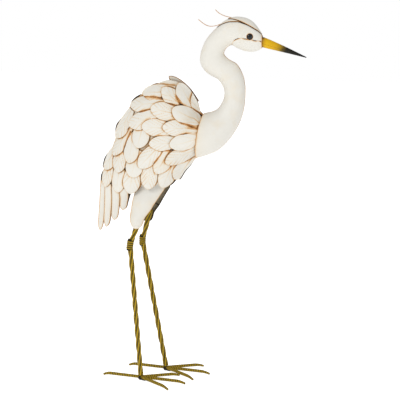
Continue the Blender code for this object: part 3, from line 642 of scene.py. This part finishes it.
RIDGE_LEVEL = 780
RIDGE_EDGE = 0.955
ROOT_RISE = 2.1
TIP_RISE = 7.4
LAYER_STEP = 0.75
ROW_TOP, ROW_END = 1, 7
FEATHER_SHEET = 0.9
FEATHER_DISH = 2.2
SHAFT_RISE = 0.45
BARB_PITCH = 17.0  # drawn coarser than pressed barbs, so that they show at the photo's size
BARB_SLANT = 2.1
FEATHER_STEPS = 68
FEATHER_COLUMNS = 29
FEATHER_EDGE = 1.02
GLAZE_AND_SHADE_REACH = 1.2
GLAZE_AND_SHADE_UNDER_REACH = 4.0
GLAZE_AND_SHADE_FADES = 14
BELOW_FEATHERS = -80
SHELL_GLAZE = 0.04


def leaf_grid(rows, columns, crowding):
    """Shares of the length, crowded towards the tip as 1 less a power of the share left, and places
    across from -1 to 1, crowded towards the edges as a sine."""
    share = (1 - (1 - np.linspace(0, 1, rows)) ** crowding)[:, None]
    return share, np.sin(np.linspace(-1, 1, columns) * np.pi / 2)[None]


def leaf_shape(share):
    """Half width of a feather as a share of its most: from 0.5 at the root it swells to 1 at 0.62 of the
    length and closes in a blunt point at the tip."""
    swell = 0.5 + 0.5 * np.sin(np.clip(share / 0.62, 0, 1) * np.pi / 2)
    close = np.clip(1 - np.clip((share - 0.62) / 0.38, 0, 1) ** 1.9, 0, 1) ** 0.62
    return swell * close


def past_rim(x, z):
    """How far a place lies ahead of the breast's rim."""
    lean = (RIM_HIGH[0] - RIM_LOW[0]) / (RIM_HIGH[1] - RIM_LOW[1])
    return x - RIM_LOW[0] - (z - RIM_LOW[1]) * lean


def leaf_places(feather, share, across, side):
    """Side-plane places, rise and half width of a feather at shares of its length and, from -1 to 1, of
    its width, and its length from the root, which is hidden behind the seen base along the same line.
    Places are held behind the breast's rim and inside the body's outline. Tips on the left side stand out
    a little further, but along the ridge only the two extra leaves there do."""
    row, layer, tip_x, tip_z, base_x, base_z, width = feather
    tip, base = np.array([tip_x, tip_z]), np.array([base_x, base_z])
    aim = unit(tip - base)
    beside = np.array([-aim[1], aim[0]])
    root = base - aim * (HIDDEN_ROOT if row > ROW_TOP else SHORT_ROOT)
    half = width / 2 * np.maximum(leaf_shape(share), 0.02)
    bow = LEAF_BOW * np.sin(tip_x + 3.0 * tip_z) * np.sin(share * np.pi)
    flat = root + share[..., None] * (tip - root) + (half * across + bow)[..., None] * beside
    if row == ROW_TOP:
        ahead = np.maximum(past_rim(flat[..., 0], flat[..., 1]) + 1.2, 0) * np.clip(1 - share * 2.5, 0, 1)
        flat = flat - ahead[..., None] * np.array([1.0, 0])
    away = flat - BODY_CENTRE
    angle = np.degrees(np.arctan2(away[..., 1], away[..., 0]))
    at_ridge = side > 0 and tip_z > RIDGE_LEVEL
    edge = RIDGE_EDGE if at_ridge else FEATHER_EDGE
    if feather in FAR_FEATHERS:
        edge = PROUD_EDGE
    far = np.maximum(np.hypot(away[..., 0], away[..., 1]), 1e-9)
    reach = np.minimum(1, edge * outline_radius(angle, COAT) / far)
    if side > 0 and not at_ridge:
        reach = reach * (1 + FAR_MORE * np.clip(3 * share - 1, 0, 1))
    flat = BODY_CENTRE + away * reach[..., None]
    layer_rise = layer * LAYER_STEP * np.clip(share * 3, 0, 1)
    rise = ROOT_RISE + (TIP_RISE - ROOT_RISE) * share**1.1 + layer_rise
    return flat[..., 0], flat[..., 1], rise, half, np.linalg.norm(tip - root)


def leaf_outline(feather, side=-1.0):
    """Closed outline of a feather where it stands over the body, as seen from the side."""
    share = 1 - (1 - np.linspace(0, 1, 45)) ** 1.8
    edges = []
    for across, order in ((1.0, share), (-1.0, share[::-1])):
        x, z, rise, _, _ = leaf_places(feather, order, across, side)
        edges.append(skin(x, z, rise - FEATHER_DISH, side)[:, [0, 2]])
    return np.concatenate(edges)


def distance_to(outline, x, z):
    """Signed distance from places to a closed outline, below nought inside it."""
    places = np.stack([np.ravel(x), np.ravel(z)], axis=-1)
    start, end = outline, np.roll(outline, -1, axis=0)
    run = end - start
    offset = places[:, None] - start
    share = np.clip((offset * run).sum(-1) / np.maximum((run**2).sum(-1), 1e-9), 0, 1)
    least = np.linalg.norm(offset - share[..., None] * run, axis=-1).min(axis=1)
    above = (start[None, :, 1] <= places[:, None, 1]) != (end[None, :, 1] <= places[:, None, 1])
    climb = np.where(run[:, 1] == 0, 1e-9, run[:, 1])
    cross = start[:, 0] + (places[:, None, 1] - start[:, 1]) * run[:, 0] / climb
    inside = (above & (cross > places[:, None, 0])).sum(axis=1) % 2 == 1
    return np.where(inside, -least, least).reshape(np.shape(x))


def height_order(feather):
    """Stacking height: rows lie over the rows behind them, and within a row by layer."""
    return -feather[0] * 10 + feather[1]


OUTLINES = {side: [leaf_outline(feather, side) for feather in FEATHERS] for side in (-1.0, 1.0)}


def glaze_and_shade_from_above(places, order, side):
    """Brown glaze and painted shade beside the feathers that lie over some places: darker in the gaps
    below their edges, as shade would be, and adding up where edges meet. It is thickest at their outline,
    reaches by a distance that wavers along it, and thins out again under them."""
    x, z = places[..., 0], places[..., 2]
    glaze = np.zeros(x.shape)
    along = x * 0.8 - z * 0.6
    waver = np.clip(1 + 0.55 * np.sin(along / 9) + 0.45 * np.sin(along / 4.1 + 1.3), 0.3, 2)
    for feather, outline in zip(FEATHERS, OUTLINES[side]):
        low, high = outline.min(axis=0) - GLAZE_AND_SHADE_FADES, outline.max(axis=0) + GLAZE_AND_SHADE_FADES
        near = (x > low[0]) & (x < high[0]) & (z > low[1]) & (z < high[1])
        if height_order(feather) <= order or not near.any():
            continue
        away = distance_to(outline, x[near], z[near])
        reach = np.where(away > 0, GLAZE_AND_SHADE_REACH * waver[near], GLAZE_AND_SHADE_UNDER_REACH)
        away = np.abs(away)
        # pool of brown glaze and painted shade at the edge of the feather above
        glaze_and_shade_pool = (0.62 + 0.14 * waver[near]) * fade(away, reach) + 0.03 * fade(away, 8)
        glaze[near] += glaze_and_shade_pool * (1 - 0.35 * np.minimum(glaze[near], 1))
    return glaze


def feather_grids(feather, side, seed):
    """Under and upper grid of one feather, its glaze and barbs, and the glaze and the mark "inside" of
    its under side. It leaves the body's skin from root to tip, is dished across, ridged along its shaft
    and grooved by slanting barbs: the wave of a place's travel along the shaft less BARB_SLANT times
    its distance from it, raised to the seventh power."""
    rng = np.random.default_rng(seed)
    share, across = leaf_grid(FEATHER_STEPS, FEATHER_COLUMNS, 1.7)
    x, z, rise, half, length = leaf_places(feather, share, across, side)
    rise = rise - FEATHER_DISH * (half / half.max()) ** 2 * across**2 * np.clip(share * 2, 0, 1)
    from_shaft = half * across
    shaft = SHAFT_RISE * bell(from_shaft, 0.9) * np.clip(1.15 - share, 0, 1)
    travel = share * length - np.abs(from_shaft) * BARB_SLANT
    depth = np.clip(np.abs(across) * 3, 0, 1) * np.clip((1.02 - np.abs(across)) * 6, 0, 1)
    phases = rng.uniform(0, 2 * np.pi, 4)
    wave = np.sin(2 * np.pi * travel / BARB_PITCH + phases[0] + 0.9 * np.sin(travel / 11 + phases[1]))
    barbs = np.maximum(wave, 0) ** 7 * depth * (0.55 + 0.45 * np.sin(travel / 23 + phases[2]))
    over = skin(x, z, rise + shaft, side)
    under = skin(x, z, rise - FEATHER_SHEET, side)
    edge = np.minimum(half * (1 - np.abs(across)), (1 - share) * length)
    rim_gap = np.maximum(-past_rim(x, z), 0)
    glaze = (
        # brown glaze and painted shade beside and under the feathers that lie over this one
        glaze_and_shade_from_above(over, height_order(feather), side)
        + 0.30 * fade(edge, 0.7) + 0.05 * fade(edge, 3)
        + 0.36 * fade(rim_gap, 1.5) + 0.1 * fade(rim_gap, 9)
        + rng.uniform(0.15, 0.4) * bell(from_shaft, 0.9) * np.clip(1.1 - share, 0, 1)
    )
    if side > 0 and feather[3] > RIDGE_LEVEL:  # its under side shows over the ridge, and is enamelled
        return under, over, glaze, barbs, 0.9 * bell(edge, 2), 0.0
    return under, over, glaze, barbs, 0.9 * fade(edge, 2.5) + 0.3, 1.0


def add_feathers(name, feathers, side, nodes, seed):
    """Several feathers as one object, each a closed sheet of its own."""
    points, faces, marks = [], [], {"glaze": [], "inside": [], "barbs": []}
    sheet = np.array(sheet_faces(FEATHER_STEPS, FEATHER_COLUMNS))
    for number, feather in enumerate(feathers):
        grids = feather_grids(feather, side, seed + 7 * number)
        under, over, glaze, barbs, under_glaze, inside = grids
        points.append(np.stack([under, over]))
        faces.append(sheet + number * 2 * glaze.size)
        marks["glaze"].append(np.stack([under_glaze, glaze]))
        marks["barbs"].append(np.stack([barbs * 0, barbs]))
        marks["inside"].append(np.stack([np.full(glaze.shape, inside), np.zeros(glaze.shape)]))
    add_piece(
        name, np.stack(points), np.concatenate(faces).tolist(), coat_enamel, "feather_steel", nodes,
        crease=40, **{mark: np.stack(values) for mark, values in marks.items()},
    )


# the shell's glaze and painted shade darken it beside and under the feathers' edges
shell_glaze_and_shade = np.concatenate([
    glaze_and_shade_from_above(side_rings, BELOW_FEATHERS, side)
    for side_rings, side in zip(np.split(rings, 2), (-1.0, 1.0))
])
add_loft(
    "body_shell_steel", rings, coat_enamel, "off_white_steel", ["body_shell"],
    glaze=SHELL_GLAZE + shell_glaze_and_shade, inside=0.0, barbs=0.0,
)
for side_name, side in SIDES:
    for row in range(ROW_TOP, ROW_END + 1):
        members = [feather for feather in FEATHERS + FAR_FEATHERS * (side > 0) if feather[0] == row]
        nodes = [f"feather_row_{row}_{side_name}"]
        add_feathers(f"feathers_row_{row}_{side_name}", members, side, nodes, 100 * row + (side > 0) * 50)


# Tail: four long narrow strips of sheet on each side, welded under the last row of feathers and
# hanging down behind the legs. Each laps the next, and glaze runs down the joints between them.
TAIL_STRIPS = (  # root, tip, width, layer
    ((-258, 552), (-273, 413), 20, 0), ((-243, 548), (-254, 424), 23, 1),
    ((-222, 541), (-232, 444), 26, 0), ((-196, 541), (-207, 474), 25, 1),
)
TAIL_LIFT = 1.3
TAIL_LAYER = 1.7
TAIL_SHEET = 1.0
TAIL_ROWS, TAIL_COLUMNS = 110, 25


def tail_grids(root, tip, width, layer, side):
    """Grids of one strip: parallel edges that draw in a little, closed by a rounded tip."""
    root, tip = np.array(root, float), np.array(tip, float)
    aim = unit(tip - root)
    share, across = leaf_grid(TAIL_ROWS, TAIL_COLUMNS, 1.6)
    rounding = np.sqrt(np.clip(1 - np.maximum(share - 0.8, 0) ** 2 / 0.0402, 0.001, 1))
    half = width / 2 * (1 - 0.25 * share) * rounding
    beside = np.array([-aim[1], aim[0]])
    flat = root + share[..., None] * (tip - root) + (half * across)[..., None] * beside
    rise = TAIL_LIFT + TAIL_LAYER * layer + 0.5 - 1.2 * across**2 * (half / width * 2)
    shaft = 0.35 * bell(half * across, 0.8)
    over = skin(flat[..., 0], flat[..., 1], rise + shaft + TAIL_SHEET, side)
    under = skin(flat[..., 0], flat[..., 1], rise, side)
    edge = np.minimum(half * (1 - np.abs(across)), (1 - share) * np.linalg.norm(tip - root))
    glaze = (
        # painted shade and brown glaze below the feathers that hang over the strip
        glaze_and_shade_from_above(over, BELOW_FEATHERS, side)
        + 0.55 * fade(edge, 1.2) + 0.1 * fade(edge, 4)
    )
    return under, over, glaze


for side_name, side in SIDES:
    for number, (root, tip, width, layer) in enumerate(TAIL_STRIPS, start=1):
        under, over, glaze = tail_grids(root, tip, width, layer, side)
        add_sheet(
            f"tail_strip_{number}_{side_name}_steel", over, under, glaze, coat_enamel, "feather_steel",
            [f"tail_strip_{number}_{side_name}"], inside=1.0, barbs=0.0,
        )


# Thighs: a dished plate of sheet on each side, hung under the last feathers and drawn in to the hip of
# the leg. Outside it is enamelled like the breast, with painted shade under the feathers' edges at its
# top; inside it keeps grey-brown wash with dark edges.
THIGH_STATIONS = (  # level, back, front, edge, crown
    (433, -164, -156, 41.5, 44), (436, -169.5, -150.5, 38, 45.5), (446, -176.5, -143, 35, 45),
    (459, -179, -139, 32.5, 44), (484, -177, -122, 26, 38.5), (503, -175, -111, 21.5, 33),
    (524, -171, -98, 13, 24), (543, -168, -87, 8, 20), (560, -166, -88, 10, 21), (578, -164, -94, 10, 20),
)
THIGH_GAP = 1.6
THIGH_SHEET = 1.2
THIGH_ROWS, THIGH_COLUMNS = 90, 37
SEAM_LEVEL = 450
LEFT_AHEAD = 10.0
thigh_levels = np.array(THIGH_STATIONS, float)

for side_name, side, shift in (("right", -1.0, 0.0), ("left", 1.0, LEFT_AHEAD)):
    level = np.linspace(thigh_levels[0, 0], thigh_levels[-1, 0], THIGH_ROWS)
    back, front, edge, crown = smooth_curve(thigh_levels[:, 0], thigh_levels[:, 1:], level).T[..., None]
    across = np.sin(np.linspace(-1, 1, THIGH_COLUMNS) * np.pi / 2)[None]
    x = (back + front) / 2 + shift + across * (front - back) / 2
    z = np.broadcast_to(level[:, None], x.shape)
    out = np.maximum(crown - (crown - edge) * across**2, half_width(x, z, SHELL) + THIGH_GAP)
    under = np.stack([x, side * out, z], axis=-1)
    over = np.stack([x, side * (out + THIGH_SHEET), z], axis=-1)
    rim = np.minimum((front - back) / 2 * (1 - np.abs(across)), z - level[0])
    glaze = (
        # painted shade and brown glaze below the last feathers, over the top of the plate
        glaze_and_shade_from_above(over, BELOW_FEATHERS, side) + 0.36 * fade(rim, 1) + 0.14 * fade(rim, 6)
    )
    seam = bell(z + 0.3 * x - SEAM_LEVEL, 2)
    under_glaze = 0.95 * fade(rim, 2.4) + 0.8 * seam
    add_sheet(
        f"thigh_plate_{side_name}", over, under, glaze, coat_enamel, "off_white_steel",
        [f"thigh_{side_name}"], inside=1.0, under_glaze=under_glaze, barbs=0.0,
    )


# Legs: square steel bar twisted cold, brazed at the knee inside a ribbed ferrule and at the foot to
# the toes. Gold paint was rubbed over dark brown, so it is brightest along the corners.
BAR_SIDE = 11.0
BAR_TWIST = 155.0
BAR_CORNER = 1.1
FLAT_WORN = 0.12
COLLAR_RADIUS = 9.5
COLLAR_LENGTH = 24.0
COLLAR_RIBS = 4
COLLAR_RIB_DEPTH = 1.0
CLEARANCE = 0.3
HUB_HEIGHT = 14.0
HUB_RADIUS = 7.5
LEGS = {
    "right": ((-149, -27, 470), (-178, -38.5, 387), (-152.5, -41, 0)),
    "left": ((-138, 27, 470), (-164, 38.5, 379.5), (-100.5, 39.5, 0)),
}


def gilt(name, metallic, stops, grain_mm):
    """Rubbed gold paint: its ramp runs over the mark "worn", broken up by noise."""
    made, tree, shader = new_finish(name, Roughness=0.55, Metallic=metallic, Specular_IOR_Level=0.25)
    patches = blotches(tree, grain_mm, 4.0)
    broken = sums(tree, "MULTIPLY", sums(tree, "SUBTRACT", patches, 0.5), 0.55)
    worn = sums(tree, "ADD", mark_of(tree, "worn"), broken, use_clamp=True)
    finish_off(tree, shader, ramp_of(tree, worn, stops), patches, 0.3, 0.5)
    return made


leg_gilt = gilt(
    "rubbed_gold_paint_on_twisted_bar", 0.0,
    ((0.0, "1E1707"), (0.22, "4A3B0A"), (0.45, "86700F"), (0.7, "AE9016"), (1.0, "C4A222")), 7.0,
)
weld_brown = gilt(
    "dark_brown_weld_bead", 0.3, ((0.0, "17120B"), (0.6, "3B3014"), (1.0, "8A7526")), 5.0
)


def rod_frame(start, end):
    """Aim of a run and two unit vectors square to it and to each other."""
    aim = unit(end - start)
    first = unit(np.cross(aim, [0, 1.0, 0]))
    return aim, first, np.cross(aim, first)


def rounded_square(side_length, corner):
    """Outline of a square section: seven points round each corner and eight along each flat."""
    reach = (side_length / 2 - corner) * np.sqrt(2)
    outline = []
    for quarter in range(4):
        angle = np.linspace(0, np.pi / 2, 7) + quarter * np.pi / 2
        middle = np.pi / 4 + quarter * np.pi / 2
        centre = np.array([np.cos(middle), np.sin(middle)]) * reach
        outline.append(centre + corner * np.stack([np.cos(angle), np.sin(angle)], axis=-1))
    flats = []
    for arc, following in zip(outline, outline[1:] + outline[:1]):
        flats += [arc[:-1], np.linspace(arc[-1], following[0], 8, endpoint=False)]
    return np.concatenate(flats)


def twisted_bar(name, start, end, nodes):
    """Square bar: its section turned about the run by a full turn every BAR_TWIST."""
    aim, first, second = rod_frame(start, end)
    length = np.linalg.norm(end - start)
    travel = np.linspace(0, length, int(length / 1.6))
    section = rounded_square(BAR_SIDE, BAR_CORNER)
    turn = 2 * np.pi * travel / BAR_TWIST + np.pi / 4
    u = np.cos(turn)[:, None] * section[:, 0] - np.sin(turn)[:, None] * section[:, 1]
    v = np.sin(turn)[:, None] * section[:, 0] + np.cos(turn)[:, None] * section[:, 1]
    points = start + travel[:, None, None] * aim + u[..., None] * first + v[..., None] * second
    radius = np.hypot(*section.T)
    corner_share = np.clip((radius - BAR_SIDE / 2) / (radius.max() - BAR_SIDE / 2), 0, 1)
    worn = FLAT_WORN + (1 - FLAT_WORN) * corner_share**0.6
    add_loft(name, points, leg_gilt, "olive_gold_steel", nodes, worn=worn)


def turned(name, start, end, radii, finish, slot, nodes, worn):
    """Round piece whose radius is given at even steps from start to end."""
    _, first, second = rod_frame(start, end)
    share = np.linspace(0, 1, len(radii))[:, None, None]
    points = start + share * (end - start) + circle(first, second, 40) * radii[:, None, None]
    add_loft(name, points, finish, slot, nodes, worn=np.asarray(worn)[..., None])


for side_name, (hip, knee, hub) in LEGS.items():
    hip, knee, hub = (np.array(place, float) for place in (hip, knee, hub))
    top = np.array([hub[0], hub[1], HUB_HEIGHT + CLEARANCE])
    up, down = unit(hip - knee), unit(top - knee)
    along = unit(up - down)
    above, below = knee + along * COLLAR_LENGTH / 2, knee - along * COLLAR_LENGTH / 2
    twisted_bar(f"upper_leg_bar_{side_name}", knee + up * 4, hip, [f"upper_leg_{side_name}"])
    twisted_bar(f"lower_leg_bar_{side_name}", top, knee + down * 4, [f"lower_leg_{side_name}"])
    share = np.linspace(0, 1, 90)
    rib = 0.5 - 0.5 * np.cos(2 * np.pi * COLLAR_RIBS * share)
    ends = np.clip(np.minimum(share, 1 - share) / 0.04, 0, 1) ** 0.5
    radii = (COLLAR_RADIUS - COLLAR_RIB_DEPTH * (1 - rib)) * (0.86 + 0.14 * ends)
    turned(f"knee_ferrule_{side_name}", below, above, radii, leg_gilt, "olive_gold_steel",
           [f"knee_collar_{side_name}"], 0.15 + 0.6 * rib * ends)
    for place, direction, word in ((above, up, "upper"), (below, down, "lower")):
        bead = 7.3 + 1.2 * np.sin(np.linspace(0.15, np.pi, 16))
        low, high = place - direction * 1.5, place + direction * 2.6
        turned(f"knee_weld_{word}_{side_name}", low, high, bead, weld_brown, "dark_weld", (), 0.2)


# Feet: each leg stands on four ribbed steel rods, three forwards and one back, with ground-down ends
# bent to the floor as claws. A brown weld joins them to the leg and fills the web between them.
TOE_RADIUS = 4.5
TOE_LEVEL = 8.5
CLAW_RADIUS = 2.9
TOE_RIB_PITCH = 5.0
TOE_RIB = 0.5
FOOT_TURN = -4.5
SIDE_TOE_ANGLE = 28.5
TOES = {  # turn, run on the floor, length of the claw
    "middle": (0, 105, 24), "outer": (-SIDE_TOE_ANGLE, 85, 24), "inner": (SIDE_TOE_ANGLE, 85, 24),
    "back": (180, 91, 19),
}


def toe(name, hub, heading, start, run, claw, nodes):
    """Ribbed rod along the ground whose last stretch bends down to a narrow end on the floor."""
    aim = np.array([np.cos(heading), np.sin(heading), 0])
    beside = np.array([-aim[1], aim[0], 0])
    out = np.linspace(start, run + claw, 220)
    bend = np.clip((out - run) / claw, 0, 1)
    level = TOE_LEVEL - (TOE_LEVEL - CLAW_RADIUS * 1.2) * bend**1.7
    radius = TOE_RADIUS - (TOE_RADIUS - CLAW_RADIUS) * bend
    ripple = 0.5 + 0.5 * np.cos(2 * np.pi * out / TOE_RIB_PITCH)
    radius = radius - TOE_RIB * (1 - ripple) * (1 - bend)
    slope = np.gradient(level, out)
    lean = unit(np.stack([-slope, np.ones_like(slope)], axis=-1))
    up = np.array([0, 0, 1.0])
    centre = np.array([hub[0], hub[1], 0]) + aim * out[:, None] + up * level[:, None]
    upright = (lean[:, :1] * aim + lean[:, 1:] * up)[:, None]
    points = centre[:, None] + circle(beside, upright, 24) * radius[:, None, None]
    points[..., 2] = np.maximum(points[..., 2], 0.0)
    worn = (0.1 + 0.85 * ripple)[:, None]
    add_loft(name, points, leg_gilt, "olive_gold_steel", nodes, worn=worn)


toe_start = (TOE_RADIUS + CLEARANCE) / np.sin(np.radians(SIDE_TOE_ANGLE / 2))
for side_name, side in SIDES:
    hub = np.array(LEGS[side_name][2], float)
    for word, (angle, run, claw) in TOES.items():
        turn = np.radians(FOOT_TURN + angle * -side)
        toe(f"toe_rod_{word}_{side_name}", hub, turn, 4.0, run, claw, [f"toe_{word}_{side_name}"])
    bearing = np.linspace(0, 2 * np.pi, 72, endpoint=False)
    from_front = np.abs((bearing + np.pi) % (2 * np.pi) - np.pi)
    web = HUB_RADIUS + (toe_start + 5 - HUB_RADIUS) * np.exp(-((from_front / 0.75) ** 4))
    levels = np.array([1.2, 2.5, 5, 8, 10.5, 12.5, 14.0, 15.0])
    swell = np.array([0.72, 0.9, 1.0, 1.0, 0.86, 0.66, 0.6, 0.52])
    webbed = (web - HUB_RADIUS) * np.clip(1.3 - levels[:, None] / 9, 0, 1)
    reach = swell[:, None] * (HUB_RADIUS + webbed)
    turned_bearing = bearing + np.radians(FOOT_TURN)
    x, y = hub[0] + np.cos(turned_bearing) * reach, hub[1] + np.sin(turned_bearing) * reach
    weld = np.stack([x, y, np.broadcast_to(levels[:, None], reach.shape)], axis=-1)
    add_loft(
        f"foot_weld_{side_name}", weld, weld_brown, "dark_weld", [f"foot_hub_{side_name}"], worn=0.25
    )


# Floor and light: a seamless pure white sweep under a soft box high on the left of the camera, with
# white all round. The paper glows a little, and more to the camera, so that it stays pure white.
FLOOR_SIZE = 12.0
CAMERA_AZIMUTH, CAMERA_ELEVATION, CAMERA_DISTANCE = 12.0, 14.0, 3.0
CAMERA_TARGET = np.array([6.5, 0.0, 511.4])
LENS = 101.12
ROOM_LIGHT = 0.5
PAPER_SEEN, PAPER_GLOW = 0.8, 0.3


def set_glow(tree, socket, seen, otherwise):
    """Sets a strength to one value for the camera's own rays and to another for all the rest."""
    ray = add_node(tree, "ShaderNodeLightPath").outputs["Is Camera Ray"]
    inputs = {0: ray, 1: seen - otherwise, 2: otherwise}
    glow = add_node(tree, "ShaderNodeMath", inputs, operation="MULTIPLY_ADD")
    tree.links.new(glow.outputs[0], socket)


floor_paper, tree, shader = new_finish(
    "matt_white_background_paper", Roughness=0.9, Specular_IOR_Level=0.0
)
shader.inputs["Base Color"].default_value = colour("FFFFFF")
shader.inputs["Emission Color"].default_value = colour("FFFFFF")
set_glow(tree, shader.inputs["Emission Strength"], PAPER_SEEN, PAPER_GLOW)
mesh = bpy.data.meshes.new("background_paper")
half, low = FLOOR_SIZE / 2, -0.0005
corners = [(-half, -half, low), (half, -half, low), (half, half, low), (-half, half, low)]
mesh.from_pydata(corners, [], [(0, 1, 2, 3)])
mesh.materials.append(floor_paper)
add_object("background_paper", mesh)

world = bpy.data.worlds.new("white_studio")
world.use_nodes = True
backdrop = world.node_tree.nodes["Background"]
backdrop.inputs["Color"].default_value = colour("FFFFFF")
set_glow(world.node_tree, backdrop.inputs["Strength"], 1.0, ROOM_LIGHT)
bpy.context.scene.world = world
target = (CAMERA_TARGET + ORIGIN) / 1000
for name, place, energy in (("soft_box", (-1.4, -2.6, 2.6), 33), ("fill_box", (2.4, -1.6, 1.2), 7)):
    light = bpy.data.lights.new(name, "AREA")
    light.size, light.energy = 1.6, energy
    lamp = add_object(name, light)
    lamp.location = place
    aim = np.array(place) - target
    tilt = np.arctan2(np.hypot(aim[0], aim[1]), aim[2])
    lamp.rotation_euler = (tilt, 0, np.arctan2(aim[0], -aim[1]))
bpy.context.scene.view_settings.view_transform = "Standard"

camera_data = bpy.data.cameras.new("camera")
camera_data.lens, camera_data.sensor_width = LENS, 36
camera = add_object("camera", camera_data)
azimuth, elevation = np.radians(CAMERA_AZIMUTH), np.radians(CAMERA_ELEVATION)
level = np.array([np.sin(azimuth), -np.cos(azimuth), 0]) * np.cos(elevation)
toward = level + np.array([0, 0, np.sin(elevation)])
camera.location = target + CAMERA_DISTANCE * toward
camera.rotation_euler = (np.pi / 2 - elevation, 0, azimuth)
bpy.context.scene.camera = camera
